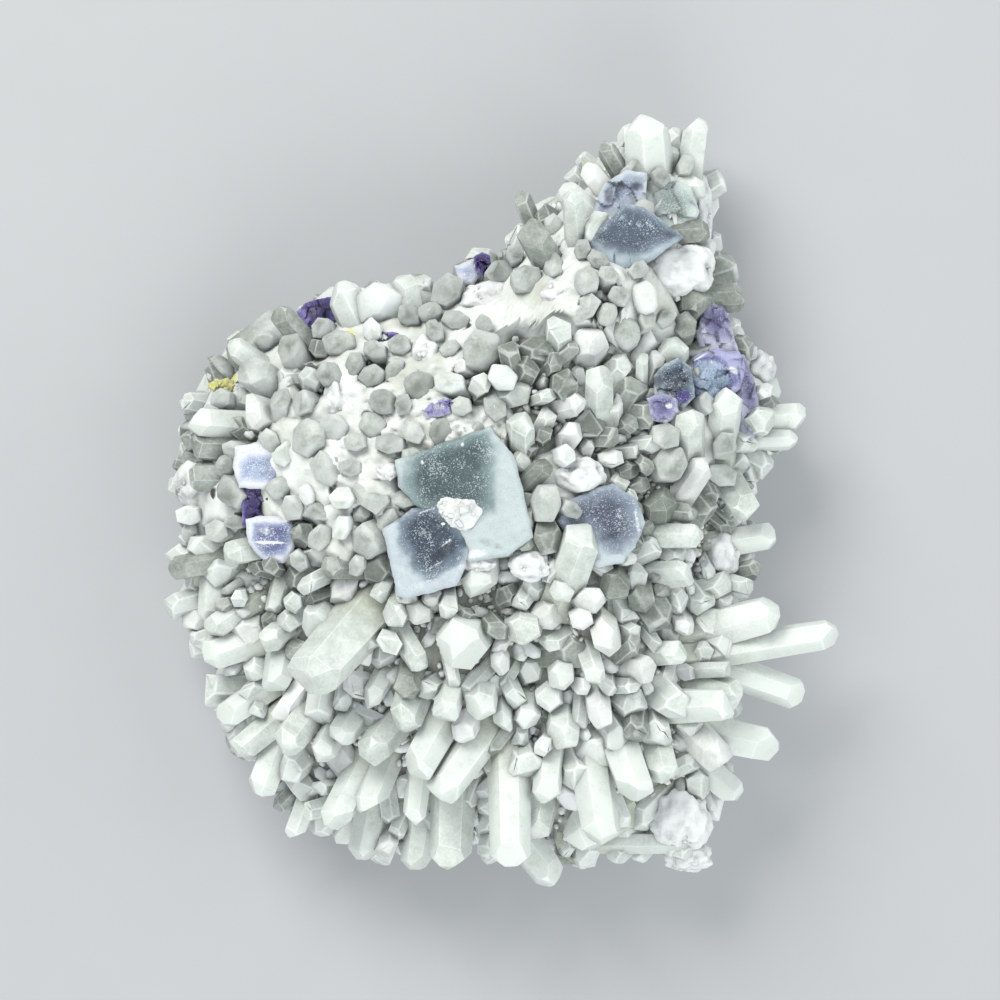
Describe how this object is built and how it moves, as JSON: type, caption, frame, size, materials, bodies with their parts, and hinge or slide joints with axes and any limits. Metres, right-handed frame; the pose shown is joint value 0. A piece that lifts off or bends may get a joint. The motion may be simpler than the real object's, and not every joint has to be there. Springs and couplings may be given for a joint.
{
  "type": "fluorite on matrix",
  "caption": "Hand specimen of milky quartz crystals on a lump of rock, with pale blue, slate and purple fluorite cubes, lying on its flat broken back.",
  "frame": {"origin": "middle of the flat broken back that the specimen lies on", "axes": "+Z out of the display face, +Y towards the narrow arm, +X to the right seen from above"},
  "size_m": [0.1013, 0.1163, 0.0374],
  "materials": {
    "matrix": "rough rock under a crust of small milky quartz crystals",
    "quartz": "milky quartz, frosted with glossy faces",
    "fluorite_blue": "pale blue fluorite with a slate core, frosted faces",
    "fluorite_purple": "purple fluorite with lilac rims, frosted faces"
  },
  "bodies": {
    "root": {"fluorite_arm": "fluorite_blue", "fluorite_crest": "fluorite_purple", "fluorite_left": "fluorite_blue", "fluorite_lilac": "fluorite_purple", "fluorite_main": "fluorite_blue", "fluorite_purple": "fluorite_purple", "fluorite_right": "fluorite_blue", "fluorite_slate": "fluorite_purple", "fluorite_small": "fluorite_purple", "fluorite_upper_left": "fluorite_purple", "matrix": "matrix", "quartz_arm_left": "quartz", "quartz_arm_right": "quartz", "quartz_arm_wide": "quartz", "quartz_bright_right": "quartz", "quartz_broad_left": "quartz", "quartz_end_on": "quartz", "quartz_fat_face": "quartz", "quartz_flank_fat": "quartz", "quartz_flank_left": "quartz", "quartz_flank_long": "quartz", "quartz_flank_right": "quartz", "quartz_foot_left": "quartz", "quartz_foot_middle": "quartz", "quartz_foot_right": "quartz", "quartz_inner_right": "quartz", "quartz_left_blade": "quartz", "quartz_left_grey": "quartz", "quartz_rim_lower_right": "quartz", "quartz_rim_right": "quartz", "quartz_spray_inner": "quartz", "quartz_spray_long": "quartz", "quartz_spray_low": "quartz", "quartz_spray_upper": "quartz"}
  },
  "joints": []
}
